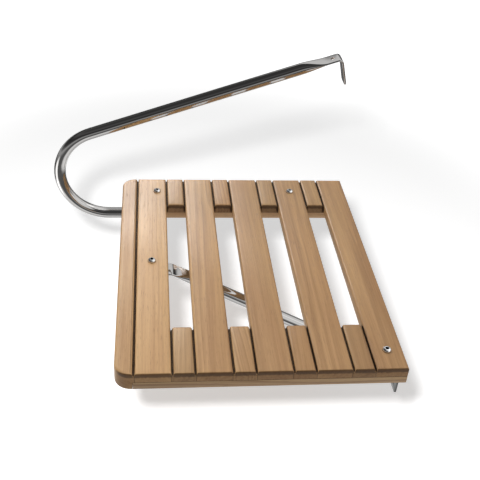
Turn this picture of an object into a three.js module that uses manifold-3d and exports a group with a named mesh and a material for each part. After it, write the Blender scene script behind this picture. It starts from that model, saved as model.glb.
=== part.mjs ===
// A slatted teak deck that hangs on a wall, with a J-shaped stainless grab rail and a brace under it.
// Millimetres, +Z up. The origin is on the wall side of the deck: X = 0 is the plane of its wall edge, with the deck
// on the -X side; Y = 0 is the middle of its depth; Z = 0 is the middle of the slats' thickness.
import * as THREE from "three";
import { mergeVertices } from "three/addons/utils/BufferGeometryUtils.js";
import Module from "manifold-3d";

// Deck
const DECK_WIDTH = 458; // from the wall out to the free edge
const DECK_DEPTH = 556; // along the wall
const SLAT_THICKNESS = 18;
const CROSSPIECE_THICKNESS = 13.2;
const EDGE_STRIP_WIDTH = 28.3;
const SLAT_WIDTH = 55.9;
const FILLER_WIDTH = 31.8;
const GROOVE_WIDTH = 3;
const GROOVE_DEPTH = 6;
const FRONT_FILLER_LENGTH = 106;
const REAR_FILLER_LENGTH = 98;
const CROSSPIECE_WIDTH = 97;
const CORNER_RADIUS = 25;
const CORNER_STEPS = 10;
const CHAMFER = 3.6;
const FILLER_END_CHAMFER = 6;
const ARRIS = 1.2; // small flat on the lower edges
const FIT_GAP = 0.3; // between pieces that touch
const SLAT_COUNT = 4; // wide slats beside the wall board

// Tubes
const TUBE_RADIUS = 11.1;
const TUBE_WALL = 1.5;
const FLAT_HALF_HEIGHT = 1.7; // a flattened tube end, half its thickness
const TUBE_SIDES = 24;
const FOOT_CORNER = 5; // rounding of a flattened end's corners
const FOOT_BEND_RADIUS = 6;

// Grab rail, seen from the near side: distances along X from the free edge, heights from the deck's top
const RAIL_INSET = 47.4; // from the deck's far edge
const RAIL_DROP = 20.8; // tube axis under the crosspiece
const RAIL_LOWER_END = 372;
const RAIL_BEND_CENTRE = -27.4;
const RAIL_BEND_RADIUS = 93.7;
const RAIL_SLOPE = 19.8; // degrees, of the upper leg
const RAIL_FLATTEN_FROM = 334;
const RAIL_FLATTEN_TO = 384;
const RAIL_FOOT_BEND = 408;
const RAIL_FOOT_LEAN = 14; // degrees from vertical
const RAIL_FOOT_LENGTH = 45;

// Brace
const BRACE_UPPER_END = 42;
const BRACE_UPPER_BEND = 94;
const BRACE_UPPER_BEND_RADIUS = 12;
const BRACE_SLOPE = 29.1; // degrees below the horizontal
const BRACE_FLATTEN_LENGTH = 42;
const BRACE_FOOT_BEND = 456.3; // brings the foot's outer face to the wall
const BRACE_FOOT_FLAT = 16; // flat length above the lower bend
const BRACE_FOOT_LEAN = 0;
const BRACE_FOOT_LENGTH = 45;

// Wall bracket
const BRACKET_WIDTH = 31;
const BRACKET_THICKNESS = 3;
const BRACKET_REACH = 54;
const BRACKET_DROP = 52.6;
const BRACKET_OUTER_RADIUS = 5;
const BRACKET_HOLE_DROP = 32;

// Fasteners
const BOLT_RADIUS = 4;
const BOLT_HOLE_RADIUS = 4.3;
const BOLT_HEAD_RADIUS = 7;
const BOLT_HEAD_HEIGHT = 4.4;
const SOCKET_RADIUS = 3.2;
const SOCKET_DEPTH = 3.2;
const WASHER_RADIUS = 8;
const WASHER_THICKNESS = 1.6;
const NUT_ACROSS_FLATS = 13;
const NUT_HEIGHT = 7.5;
const THREAD_PAST_NUT = 1.8;
const WALL_HOLE_RADIUS = 4.25; // the holes for the wall's own screws
const SCREW_RADIUS = 2.1;
const SCREW_HEAD_RADIUS = 4.2;
const SCREW_LENGTH = 26;
const SCREW_INSET = 26; // from the deck's front or rear edge
const DOWEL_RADIUS = 4;
const DOWEL_LENGTH = 36;
const SADDLE_LENGTH = 34;
const SADDLE_WIDTH = 27;
const SADDLE_GRIP = 4; // how far its cheeks reach past the tube's axis, upwards
const PLUG_RIM = 3;
const PLUG_STEM = 14;

// Levels and edges that follow
const TOP = SLAT_THICKNESS / 2;
const SLAT_BOTTOM = TOP - SLAT_THICKNESS;
const CROSSPIECE_TOP = SLAT_BOTTOM - FIT_GAP;
const UNDERSIDE = CROSSPIECE_TOP - CROSSPIECE_THICKNESS;
const FREE_EDGE = -DECK_WIDTH;
const FRONT = -DECK_DEPTH / 2;
const REAR = DECK_DEPTH / 2;
const RAIL_Y = REAR - RAIL_INSET;
const RAIL_Z = UNDERSIDE - RAIL_DROP;
const PITCH = SLAT_WIDTH + FILLER_WIDTH + 2 * GROOVE_WIDTH;

// Bolt places: X from the free edge, Y in the deck's frame
const RAIL_BOLT_OUTER = { x: FREE_EDGE + 69, y: RAIL_Y };
const RAIL_BOLT_INNER = { x: FREE_EDGE + 341.6, y: RAIL_Y };
const BRACE_BOLT = { x: FREE_EDGE + 58, y: 0 };
const BRACKET_BOLT = { x: FREE_EDGE + 431.3, y: FRONT + 41.4 };

const wasm = await Module();
wasm.setup();

const teak = new THREE.MeshStandardMaterial({ color: 0xc69c6d, roughness: 0.6 });
const teakEnd = new THREE.MeshStandardMaterial({ color: 0x9c7350, roughness: 0.7 });
const steel = new THREE.MeshStandardMaterial({ color: 0xc8cbce, roughness: 0.12, metalness: 1 });
const plastic = new THREE.MeshStandardMaterial({ color: 0x202225, roughness: 0.5 });

const radians = THREE.MathUtils.degToRad;

// --- solids from three.js geometries ---

function solid(geometry) {
  const bare = geometry.clone();
  for (const name of Object.keys(bare.attributes)) {
    if (name !== "position") bare.deleteAttribute(name);
  }
  const merged = mergeVertices(bare, 1e-4);
  return new wasm.Manifold(
    new wasm.Mesh({
      numProp: 3,
      vertProperties: new Float32Array(merged.attributes.position.array),
      triVerts: new Uint32Array(merged.index.array),
    }),
  );
}

function mesh(name, shape, material) {
  const result = shape.getMesh();
  const geometry = new THREE.BufferGeometry();
  geometry.setAttribute("position", new THREE.BufferAttribute(result.vertProperties, 3));
  geometry.setIndex(new THREE.BufferAttribute(result.triVerts, 1));
  geometry.computeVertexNormals();
  const made = new THREE.Mesh(geometry, material);
  made.name = name;
  return made;
}

function outline(points) {
  return new THREE.Shape(points.map(([a, b]) => new THREE.Vector2(a, b)));
}

function prism(shape, length, basis) {
  const geometry = new THREE.ExtrudeGeometry(shape, {
    depth: length,
    bevelEnabled: false,
    curveSegments: 10,
  });
  return solid(geometry.applyMatrix4(basis));
}

// A section drawn in X and Z, run along Y.
function alongY(shape, from, to) {
  const basis = new THREE.Matrix4().makeBasis(
    new THREE.Vector3(1, 0, 0),
    new THREE.Vector3(0, 0, 1),
    new THREE.Vector3(0, -1, 0),
  );
  return prism(shape, to - from, basis.setPosition(0, to, 0));
}

// A section drawn in Y and Z, run along X.
function alongX(shape, from, to) {
  const basis = new THREE.Matrix4().makeBasis(
    new THREE.Vector3(0, 1, 0),
    new THREE.Vector3(0, 0, 1),
    new THREE.Vector3(1, 0, 0),
  );
  return prism(shape, to - from, basis.setPosition(from, 0, 0));
}

function block(x0, x1, y0, y1, z0, z1) {
  const geometry = new THREE.BoxGeometry(x1 - x0, y1 - y0, z1 - z0);
  return solid(geometry.translate((x0 + x1) / 2, (y0 + y1) / 2, (z0 + z1) / 2));
}

function rod(radius, centre, direction, length, sides = 20) {
  const geometry = new THREE.CylinderGeometry(radius, radius, length, sides);
  const turn = new THREE.Quaternion().setFromUnitVectors(
    new THREE.Vector3(0, 1, 0),
    direction.clone().normalize(),
  );
  geometry.applyQuaternion(turn).translate(centre.x, centre.y, centre.z);
  return solid(geometry);
}

function uprightRod(radius, place, z0, z1, sides = 20) {
  const centre = new THREE.Vector3(place.x, place.y, (z0 + z1) / 2);
  return rod(radius, centre, new THREE.Vector3(0, 0, 1), z1 - z0, sides);
}

// A turned piece on a vertical axis: the profile is [radius, height] pairs from the axis round to the axis.
function turned(profile, place, sides = 24) {
  const points = profile.map(([r, h]) => new THREE.Vector2(r, h));
  const geometry = new THREE.LatheGeometry(points, sides);
  return solid(geometry.rotateX(Math.PI / 2).translate(place.x, place.y, 0));
}

// Joins rings of points, each one turning the same way round, into a closed skin with a fan over each end.
function skin(rings, startCentre, endCentre) {
  const n = rings[0].length / 3;
  const index = [];
  for (let ring = 0; ring + 1 < rings.length; ring++) {
    for (let k = 0; k < n; k++) {
      const a = ring * n + k;
      const b = ring * n + ((k + 1) % n);
      index.push(a, b, a + n, b, b + n, a + n);
    }
  }
  const start = rings.length * n;
  const last = start - n;
  for (let k = 0; k < n; k++) {
    const next = (k + 1) % n;
    index.push(start, next, k);
    index.push(start + 1, last + k, last + next);
  }
  const positions = [...rings.flat(), ...startCentre, ...endCentre];
  const geometry = new THREE.BufferGeometry();
  geometry.setAttribute("position", new THREE.Float32BufferAttribute(positions, 3));
  geometry.setIndex(index);
  return solid(geometry);
}

// --- teak ---

function slatLeft(index) {
  return FREE_EDGE + EDGE_STRIP_WIDTH + GROOVE_WIDTH + index * PITCH;
}

function boardSection(x0, x1) {
  return outline([
    [x0 + ARRIS, SLAT_BOTTOM],
    [x1 - ARRIS, SLAT_BOTTOM],
    [x1, SLAT_BOTTOM + ARRIS],
    [x1, TOP - CHAMFER],
    [x1 - CHAMFER, TOP],
    [x0 + CHAMFER, TOP],
    [x0, TOP - CHAMFER],
    [x0, SLAT_BOTTOM + ARRIS],
  ]);
}

// A filler's upper part is narrower than the space it fills; its tongues below close the grooves beside it.
function fillerSection(x0, x1) {
  const tongue = GROOVE_WIDTH - FIT_GAP;
  return outline([
    [x0 - tongue, SLAT_BOTTOM],
    [x1 + tongue, SLAT_BOTTOM],
    [x1 + tongue, TOP - GROOVE_DEPTH],
    [x1, TOP - GROOVE_DEPTH],
    [x1, TOP - CHAMFER],
    [x1 - CHAMFER, TOP],
    [x0 + CHAMFER, TOP],
    [x0, TOP - CHAMFER],
    [x0, TOP - GROOVE_DEPTH],
    [x0 - tongue, TOP - GROOVE_DEPTH],
  ]);
}

// The same piece seen from its side, with a chamfer at each end of its top.
function endsSection(y0, y1, chamfer0, chamfer1) {
  return outline([
    [y0, SLAT_BOTTOM],
    [y1, SLAT_BOTTOM],
    [y1, TOP - chamfer1],
    [y1 - chamfer1, TOP],
    [y0 + chamfer0, TOP],
    [y0, TOP - chamfer0],
  ]);
}

function board(x0, x1) {
  const long = alongY(boardSection(x0, x1), FRONT, REAR);
  return long.intersect(alongX(endsSection(FRONT, REAR, CHAMFER, CHAMFER), x0 - 1, x1 + 1));
}

function filler(x0, atFront) {
  const x1 = x0 + FILLER_WIDTH;
  const length = atFront ? FRONT_FILLER_LENGTH : REAR_FILLER_LENGTH;
  const y0 = atFront ? FRONT : REAR - length;
  const y1 = y0 + length;
  const chamfers = atFront ? [CHAMFER, FILLER_END_CHAMFER] : [FILLER_END_CHAMFER, CHAMFER];
  const long = alongY(fillerSection(x0, x1), y0, y1);
  const reach = GROOVE_WIDTH + 1;
  return long.intersect(alongX(endsSection(y0, y1, ...chamfers), x0 - reach, x1 + reach));
}

// The strip's outline at one level, drawn in by a chamfer's width: two square corners and two rounded ones.
function edgeStripRing(inset, z) {
  const x0 = FREE_EDGE + inset;
  const x1 = FREE_EDGE + EDGE_STRIP_WIDTH - inset;
  const y0 = FRONT + inset;
  const y1 = REAR - inset;
  const radius = CORNER_RADIUS - inset;
  const ring = [x1, y0, z, x1, y1, z];
  for (const [y, start] of [
    [y1 - radius, Math.PI / 2],
    [y0 + radius, Math.PI],
  ]) {
    for (let k = 0; k <= CORNER_STEPS; k++) {
      const angle = start + (k * Math.PI) / 2 / CORNER_STEPS;
      ring.push(x0 + radius + radius * Math.cos(angle), y + radius * Math.sin(angle), z);
    }
  }
  return ring;
}

// Full thickness, its top edge chamfered all round; a tongue closes the groove beside the first slat.
function edgeStrip() {
  const rings = [
    edgeStripRing(ARRIS, UNDERSIDE),
    edgeStripRing(0, UNDERSIDE + ARRIS),
    edgeStripRing(0, TOP - CHAMFER),
    edgeStripRing(CHAMFER, TOP),
  ];
  const middle = FREE_EDGE + EDGE_STRIP_WIDTH / 2;
  const bar = skin(rings, [middle, 0, UNDERSIDE], [middle, 0, TOP]);
  const inner = FREE_EDGE + EDGE_STRIP_WIDTH;
  const tongueEnd = inner + GROOVE_WIDTH - FIT_GAP;
  return bar.add(block(inner - 2, tongueEnd, FRONT, REAR, SLAT_BOTTOM, TOP - GROOVE_DEPTH));
}

function crosspiece(atFront) {
  const x0 = FREE_EDGE + EDGE_STRIP_WIDTH + FIT_GAP;
  const y0 = atFront ? FRONT : REAR - CROSSPIECE_WIDTH;
  const y1 = y0 + CROSSPIECE_WIDTH;
  const section = outline([
    [y0 + ARRIS, UNDERSIDE],
    [y1 - ARRIS, UNDERSIDE],
    [y1, UNDERSIDE + ARRIS],
    [y1, CROSSPIECE_TOP],
    [y0, CROSSPIECE_TOP],
    [y0, UNDERSIDE + ARRIS],
  ]);
  return alongX(section, x0, 0);
}

// --- holes that the wood gets for its fasteners ---

function boltHole(place) {
  return uprightRod(BOLT_HOLE_RADIUS, place, UNDERSIDE - 1, TOP + 1);
}

function screwHole(place) {
  const shank = uprightRod(
    SCREW_RADIUS + FIT_GAP,
    place,
    UNDERSIDE - 1,
    UNDERSIDE + SCREW_LENGTH + 2 * FIT_GAP,
    12,
  );
  const mouth = turned(
    [
      [0, UNDERSIDE - 1],
      [SCREW_HEAD_RADIUS + 2.3, UNDERSIDE - 1],
      [0, UNDERSIDE + SCREW_HEAD_RADIUS + 1.3],
    ],
    place,
    12,
  );
  return shank.add(mouth);
}

function dowelHole(y) {
  const x = FREE_EDGE + EDGE_STRIP_WIDTH;
  const centre = new THREE.Vector3(x, y, (CROSSPIECE_TOP + UNDERSIDE) / 2);
  const along = new THREE.Vector3(1, 0, 0);
  return rod(DOWEL_RADIUS + FIT_GAP, centre, along, DOWEL_LENGTH + 2 * FIT_GAP, 14);
}

// --- tubes that lie in an upright plane ---

// Follows a line in X and Z, leaving a station at each step.
class Walk {
  constructor(x, z, heading) {
    this.stations = [{ x, z, heading, s: 0 }];
  }

  step(length, turn) {
    const last = this.stations.at(-1);
    const way = last.heading + turn / 2;
    this.stations.push({
      x: last.x + length * Math.cos(way),
      z: last.z + length * Math.sin(way),
      heading: last.heading + turn,
      s: last.s + length,
    });
  }

  line(length, steps = 1) {
    for (let i = 0; i < steps; i++) this.step(length / steps, 0);
    return this;
  }

  arc(radius, turn, steps) {
    const each = turn / steps;
    for (let i = 0; i < steps; i++) this.step(2 * radius * Math.sin(Math.abs(each) / 2), each);
    return this;
  }
}

// Half the width of a round tube pressed to a given half height, with its girth unchanged.
function pressedHalfWidth(halfHeight) {
  return halfHeight + (Math.PI / 2) * (TUBE_RADIUS - halfHeight);
}

// A rounded-end section at each station; size gives its [half width, half height].
function loft(stations, y, size) {
  const rings = stations.map((at) => {
    const [halfWidth, halfHeight] = size(at);
    const ring = [];
    for (let k = 0; k < TUBE_SIDES; k++) {
      const angle = ((k + 0.5) * 2 * Math.PI) / TUBE_SIDES;
      const flat = (halfWidth - halfHeight) * Math.sign(Math.cos(angle));
      const across = flat + halfHeight * Math.cos(angle);
      const up = halfHeight * Math.sin(angle);
      ring.push(at.x - up * Math.sin(at.heading), y + across, at.z + up * Math.cos(at.heading));
    }
    return ring;
  });
  const first = stations[0];
  const last = stations.at(-1);
  return skin(rings, [first.x, y, first.z], [last.x, y, last.z]);
}

// The corners of a flattened end are rounded: the half width left at a distance from the end.
function roundedEnd(halfWidth, distance) {
  if (distance >= FOOT_CORNER) return halfWidth;
  const short = FOOT_CORNER - distance;
  return halfWidth - FOOT_CORNER + Math.sqrt(FOOT_CORNER ** 2 - short ** 2);
}

function beyond(at, length) {
  const x = at.x + length * Math.cos(at.heading);
  const z = at.z + length * Math.sin(at.heading);
  return { x, z, heading: at.heading, s: at.s + length };
}

// A hollow tube: halfHeightAt gives how far it is pressed, endDistance how near a flattened end is.
function hollowTube(stations, y, halfHeightAt, endDistance) {
  const outer = loft(stations, y, (at) => {
    const halfHeight = halfHeightAt(at.s);
    return [roundedEnd(pressedHalfWidth(halfHeight), endDistance(at.s)), halfHeight];
  });
  const through = [beyond(stations[0], -1), ...stations, beyond(stations.at(-1), 1)];
  const inner = loft(through, y, (at) => {
    const halfHeight = halfHeightAt(at.s);
    const halfWidth = roundedEnd(pressedHalfWidth(halfHeight), Math.max(endDistance(at.s), 0));
    return [halfWidth - TUBE_WALL, halfHeight - TUBE_WALL];
  });
  return outer.subtract(inner);
}

function ramp(s, from, to) {
  return THREE.MathUtils.smoothstep(s, Math.min(from, to), Math.max(from, to));
}

function pressed(amount) {
  return TUBE_RADIUS + (FLAT_HALF_HEIGHT - TUBE_RADIUS) * amount;
}

// A hole square to a flattened foot, at a distance from its end.
function footHole(end, y, distance) {
  const at = beyond(end, -distance);
  const square = new THREE.Vector3(-Math.sin(at.heading), 0, Math.cos(at.heading));
  return rod(WALL_HOLE_RADIUS, new THREE.Vector3(at.x, y, at.z), square, 30);
}

function bendAllowance(radius, turn) {
  return radius * Math.tan(Math.abs(turn) / 2);
}

function grabRail() {
  const slope = radians(RAIL_SLOPE);
  const footHeading = radians(RAIL_FOOT_LEAN - 90);
  const footTurn = footHeading - slope;
  const leaving = FREE_EDGE + RAIL_BEND_CENTRE - RAIL_BEND_RADIUS * Math.sin(slope);
  const alongLeg = (x) => (FREE_EDGE + x - leaving) / Math.cos(slope);
  const footBend = alongLeg(RAIL_FOOT_BEND) - bendAllowance(FOOT_BEND_RADIUS, footTurn);
  const from = alongLeg(RAIL_FLATTEN_FROM);
  const to = alongLeg(RAIL_FLATTEN_TO);

  const walk = new Walk(FREE_EDGE + RAIL_LOWER_END, RAIL_Z, Math.PI)
    .line(RAIL_LOWER_END - RAIL_BEND_CENTRE)
    .arc(RAIL_BEND_RADIUS, slope - Math.PI, 21);
  const legStart = walk.stations.at(-1).s;
  walk
    .line(from)
    .line(to - from, 8)
    .line(footBend - to)
    .arc(FOOT_BEND_RADIUS, footTurn, 5)
    .line(RAIL_FOOT_LENGTH - FOOT_CORNER)
    .line(FOOT_CORNER, 3);

  const end = walk.stations.at(-1);
  const halfHeight = (s) => pressed(ramp(s - legStart, from, to));
  let tube = hollowTube(walk.stations, RAIL_Y, halfHeight, (s) => end.s - s);
  for (const place of [RAIL_BOLT_OUTER, RAIL_BOLT_INNER]) {
    const z0 = RAIL_Z - TUBE_RADIUS - 1;
    tube = tube.subtract(uprightRod(BOLT_HOLE_RADIUS, place, z0, RAIL_Z + TUBE_RADIUS + 1));
  }
  const legHole = walk.stations.find((at) => at.s >= legStart + to - 1e-6);
  const hangHole = beyond(legHole, WALL_HOLE_RADIUS + 5);
  tube = tube.subtract(footHole(hangHole, RAIL_Y, 0));
  return tube.subtract(footHole(end, RAIL_Y, RAIL_FOOT_LENGTH / 3));
}

function underBrace() {
  const slope = radians(-BRACE_SLOPE);
  const footHeading = radians(BRACE_FOOT_LEAN - 90);
  const footTurn = footHeading - slope;
  const z = SLAT_BOTTOM - FIT_GAP - FLAT_HALF_HEIGHT;
  const upperAllowance = bendAllowance(BRACE_UPPER_BEND_RADIUS, slope);
  const lowerAllowance = bendAllowance(FOOT_BEND_RADIUS, footTurn);
  const flat = BRACE_UPPER_BEND - BRACE_UPPER_END - upperAllowance;
  const straight =
    (BRACE_FOOT_BEND - BRACE_UPPER_BEND) / Math.cos(slope) - upperAllowance - lowerAllowance;
  const round = straight - 2 * BRACE_FLATTEN_LENGTH - BRACE_FOOT_FLAT;

  const walk = new Walk(FREE_EDGE + BRACE_UPPER_END, z, 0)
    .line(FOOT_CORNER, 3)
    .line(flat - FOOT_CORNER)
    .arc(BRACE_UPPER_BEND_RADIUS, slope, 3);
  const legStart = walk.stations.at(-1).s;
  walk
    .line(BRACE_FLATTEN_LENGTH, 7)
    .line(round)
    .line(BRACE_FLATTEN_LENGTH, 7)
    .line(BRACE_FOOT_FLAT)
    .arc(FOOT_BEND_RADIUS, footTurn, 4)
    .line(BRACE_FOOT_LENGTH - FOOT_CORNER)
    .line(FOOT_CORNER, 3);

  const end = walk.stations.at(-1);
  const opensAt = BRACE_FLATTEN_LENGTH;
  const closesAt = BRACE_FLATTEN_LENGTH + round;
  const halfHeight = (s) => {
    const along = s - legStart;
    const upper = 1 - ramp(along, 0, opensAt);
    const lower = ramp(along, closesAt, closesAt + BRACE_FLATTEN_LENGTH);
    return pressed(Math.max(upper, lower));
  };
  const endDistance = (s) => Math.min(s, end.s - s);
  let tube = hollowTube(walk.stations, 0, halfHeight, endDistance);
  tube = tube.subtract(uprightRod(BOLT_HOLE_RADIUS, BRACE_BOLT, z - 5, z + 5));
  return tube.subtract(footHole(end, 0, BRACE_FOOT_LENGTH / 3));
}

// --- wall bracket, saddles and plug ---

function wallBracket() {
  const top = UNDERSIDE - FIT_GAP;
  const outer = BRACKET_OUTER_RADIUS;
  const inner = outer - BRACKET_THICKNESS;
  const section = new THREE.Shape();
  section.moveTo(-BRACKET_REACH, top);
  section.lineTo(-BRACKET_REACH, top - BRACKET_THICKNESS);
  section.lineTo(-outer, top - BRACKET_THICKNESS);
  section.absarc(-outer, top - outer, inner, Math.PI / 2, 0, true);
  section.lineTo(-BRACKET_THICKNESS, top - BRACKET_DROP);
  section.lineTo(0, top - BRACKET_DROP);
  section.lineTo(0, top - outer);
  section.absarc(-outer, top - outer, outer, 0, Math.PI / 2, false);
  const middle = BRACKET_BOLT.y;
  const bar = alongY(section, middle - BRACKET_WIDTH / 2, middle + BRACKET_WIDTH / 2);
  const across = new THREE.Vector3(1, 0, 0);
  const wallHole = new THREE.Vector3(0, middle, top - BRACKET_HOLE_DROP);
  return bar
    .subtract(uprightRod(BOLT_HOLE_RADIUS, BRACKET_BOLT, top - BRACKET_THICKNESS - 1, top + 1))
    .subtract(rod(WALL_HOLE_RADIUS, wallHole, across, 4 * BRACKET_THICKNESS));
}

function railSaddle(place) {
  const half = SADDLE_LENGTH / 2;
  const top = UNDERSIDE - FIT_GAP;
  const body = block(
    place.x - half,
    place.x + half,
    place.y - SADDLE_WIDTH / 2,
    place.y + SADDLE_WIDTH / 2,
    RAIL_Z + SADDLE_GRIP,
    top,
  );
  const tubeAxis = new THREE.Vector3(place.x, RAIL_Y, RAIL_Z);
  const along = new THREE.Vector3(1, 0, 0);
  return body
    .subtract(rod(TUBE_RADIUS + FIT_GAP, tubeAxis, along, SADDLE_LENGTH + 2, 2 * TUBE_SIDES))
    .subtract(uprightRod(BOLT_HOLE_RADIUS, place, RAIL_Z, top + 1));
}

function railPlug() {
  const end = FREE_EDGE + RAIL_LOWER_END + FIT_GAP;
  const along = new THREE.Vector3(1, 0, 0);
  const at = (x) => new THREE.Vector3(x, RAIL_Y, RAIL_Z);
  const rim = rod(TUBE_RADIUS, at(end + PLUG_RIM / 2), along, PLUG_RIM, TUBE_SIDES);
  const stemRadius = TUBE_RADIUS - TUBE_WALL - FIT_GAP;
  const stemLength = PLUG_STEM + 1;
  const stem = rod(stemRadius, at(end + 1 - stemLength / 2), along, stemLength, TUBE_SIDES);
  return rim.add(stem);
}

// --- fasteners ---

// A domed head with a hexagon socket on a plain shank that reaches down to a level.
function bolt(place, bottom) {
  const seat = TOP + FIT_GAP;
  const rise = BOLT_HEAD_HEIGHT;
  const crown = BOLT_HEAD_RADIUS * 0.45;
  const body = turned(
    [
      [0, bottom],
      [BOLT_RADIUS - 0.8, bottom],
      [BOLT_RADIUS, bottom + 0.8],
      [BOLT_RADIUS, seat],
      [BOLT_HEAD_RADIUS, seat],
      [BOLT_HEAD_RADIUS, seat + 0.2 * rise],
      [BOLT_HEAD_RADIUS * 0.9, seat + 0.58 * rise],
      [BOLT_HEAD_RADIUS * 0.7, seat + 0.86 * rise],
      [crown, seat + rise],
      [0, seat + rise],
    ],
    place,
  );
  const socket = uprightRod(SOCKET_RADIUS, place, seat + rise - SOCKET_DEPTH, seat + rise + 1, 6);
  return body.subtract(socket);
}

function washer(place, top) {
  const ring = uprightRod(WASHER_RADIUS, place, top - WASHER_THICKNESS, top, 24);
  return ring.subtract(uprightRod(BOLT_HOLE_RADIUS, place, top - 4, top + 4));
}

function nut(place, top) {
  const corner = NUT_ACROSS_FLATS / 2 / Math.cos(Math.PI / 6);
  const hexagon = uprightRod(corner, place, top - NUT_HEIGHT, top, 6);
  const rounded = turned(
    [
      [0, top - NUT_HEIGHT],
      [corner - 1.6, top - NUT_HEIGHT],
      [corner, top - NUT_HEIGHT + 1.2],
      [corner, top - 0.5],
      [corner - 0.8, top],
      [0, top],
    ],
    place,
  );
  const hole = uprightRod(BOLT_HOLE_RADIUS, place, top - NUT_HEIGHT - 1, top + 1);
  return hexagon.intersect(rounded).subtract(hole);
}

function woodScrew(place) {
  const head = UNDERSIDE + FIT_GAP;
  return turned(
    [
      [0, head],
      [SCREW_HEAD_RADIUS, head],
      [SCREW_HEAD_RADIUS, head + 0.4],
      [SCREW_RADIUS, head + 0.4 + SCREW_HEAD_RADIUS - SCREW_RADIUS],
      [SCREW_RADIUS, head + SCREW_LENGTH - 5],
      [0, head + SCREW_LENGTH],
    ],
    place,
    10,
  );
}

function dowel(y) {
  const x = FREE_EDGE + EDGE_STRIP_WIDTH;
  const centre = new THREE.Vector3(x, y, (CROSSPIECE_TOP + UNDERSIDE) / 2);
  return rod(DOWEL_RADIUS, centre, new THREE.Vector3(1, 0, 0), DOWEL_LENGTH, 12);
}

// --- assembly ---

function middleOf(x0, width) {
  return x0 + width / 2;
}

const wood = new THREE.Group();
const metal = new THREE.Group();
const fixings = new THREE.Group();

const wallBoardLeft = slatLeft(SLAT_COUNT);
const frontY = FRONT + SCREW_INSET;
const rearY = REAR - SCREW_INSET;
const screws = [];
for (let i = 0; i < SLAT_COUNT; i++) {
  const x = middleOf(slatLeft(i), SLAT_WIDTH);
  const fillerX = middleOf(slatLeft(i) + SLAT_WIDTH + GROOVE_WIDTH, FILLER_WIDTH);
  screws.push({ name: `slat_screw_front_${i + 1}`, x, y: frontY });
  screws.push({ name: `filler_screw_front_${i + 1}`, x: fillerX, y: frontY });
  screws.push({ name: `filler_screw_rear_${i + 1}`, x: fillerX, y: rearY });
  const boltedHere = i === 0 || i === SLAT_COUNT - 1;
  if (!boltedHere) screws.push({ name: `slat_screw_rear_${i + 1}`, x, y: rearY });
}
screws.push({ name: "wall_board_screw_rear", x: middleOf(wallBoardLeft, -wallBoardLeft), y: rearY });

const bolts = [RAIL_BOLT_OUTER, RAIL_BOLT_INNER, BRACE_BOLT, BRACKET_BOLT];
const dowelRows = [FRONT + CROSSPIECE_WIDTH / 2, REAR - CROSSPIECE_WIDTH / 2];

// Takes out of a piece of wood the holes of the fasteners that cross its box.
function drilled(piece) {
  const { min, max } = piece.boundingBox();
  const inside = ({ x, y }) => x > min[0] && x < max[0] && y > min[1] && y < max[1];
  let result = piece;
  for (const place of bolts.filter(inside)) result = result.subtract(boltHole(place));
  for (const place of screws.filter(inside)) result = result.subtract(screwHole(place));
  return result;
}

function addWood(name, piece) {
  wood.add(mesh(name, drilled(piece), teak));
}

for (let i = 0; i < SLAT_COUNT; i++) {
  const x0 = slatLeft(i);
  addWood(`deck_slat_${i + 1}`, board(x0, x0 + SLAT_WIDTH));
  const fillerLeft = x0 + SLAT_WIDTH + GROOVE_WIDTH;
  addWood(`front_filler_${i + 1}`, filler(fillerLeft, true));
  addWood(`rear_filler_${i + 1}`, filler(fillerLeft, false));
}
addWood("wall_board", board(wallBoardLeft, 0));

let strip = edgeStrip();
for (const y of dowelRows) strip = strip.subtract(dowelHole(y));
addWood("edge_strip", strip);
addWood("front_crosspiece", crosspiece(true).subtract(dowelHole(dowelRows[0])));
addWood("rear_crosspiece", crosspiece(false).subtract(dowelHole(dowelRows[1])));
fixings.add(mesh("strip_dowel_front", dowel(dowelRows[0]), teakEnd));
fixings.add(mesh("strip_dowel_rear", dowel(dowelRows[1]), teakEnd));

metal.add(mesh("grab_rail", grabRail(), steel));
metal.add(mesh("under_brace", underBrace(), steel));
metal.add(mesh("wall_bracket", wallBracket(), steel));
metal.add(mesh("rail_saddle_outer", railSaddle(RAIL_BOLT_OUTER), plastic));
metal.add(mesh("rail_saddle_inner", railSaddle(RAIL_BOLT_INNER), plastic));
metal.add(mesh("rail_end_plug", railPlug(), plastic));

for (const place of screws) fixings.add(mesh(place.name, woodScrew(place), steel));

// Where each bolt's washer lies: under the tube, the brace's flat end or the bracket.
const underTube = RAIL_Z - TUBE_RADIUS - FIT_GAP;
const underBraceEnd = SLAT_BOTTOM - 2 * FIT_GAP - 2 * FLAT_HALF_HEIGHT;
const underBracket = UNDERSIDE - 2 * FIT_GAP - BRACKET_THICKNESS;
const boltStacks = [
  ["rail_outer", RAIL_BOLT_OUTER, underTube],
  ["rail_inner", RAIL_BOLT_INNER, underTube],
  ["brace", BRACE_BOLT, underBraceEnd],
  ["bracket", BRACKET_BOLT, underBracket],
];
for (const [name, place, washerTop] of boltStacks) {
  const nutTop = washerTop - WASHER_THICKNESS - FIT_GAP;
  fixings.add(mesh(`${name}_bolt`, bolt(place, nutTop - NUT_HEIGHT - THREAD_PAST_NUT), steel));
  fixings.add(mesh(`${name}_washer`, washer(place, washerTop), steel));
  fixings.add(mesh(`${name}_nut`, nut(place, nutTop), steel));
}

const hangingDeck = new THREE.Group();
hangingDeck.add(wood, metal, fixings);

export default hangingDeck;
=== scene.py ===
"""A slatted teak deck that hangs on a wall, with its polished grab rail and brace: the finished look.

Metres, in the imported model's frame: X = 0 is the wall edge with the deck on the -X side, +Y is the rail's
side, and Z is up.
"""

import math

import bmesh
import bpy
from mathutils import Matrix, Vector


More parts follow.
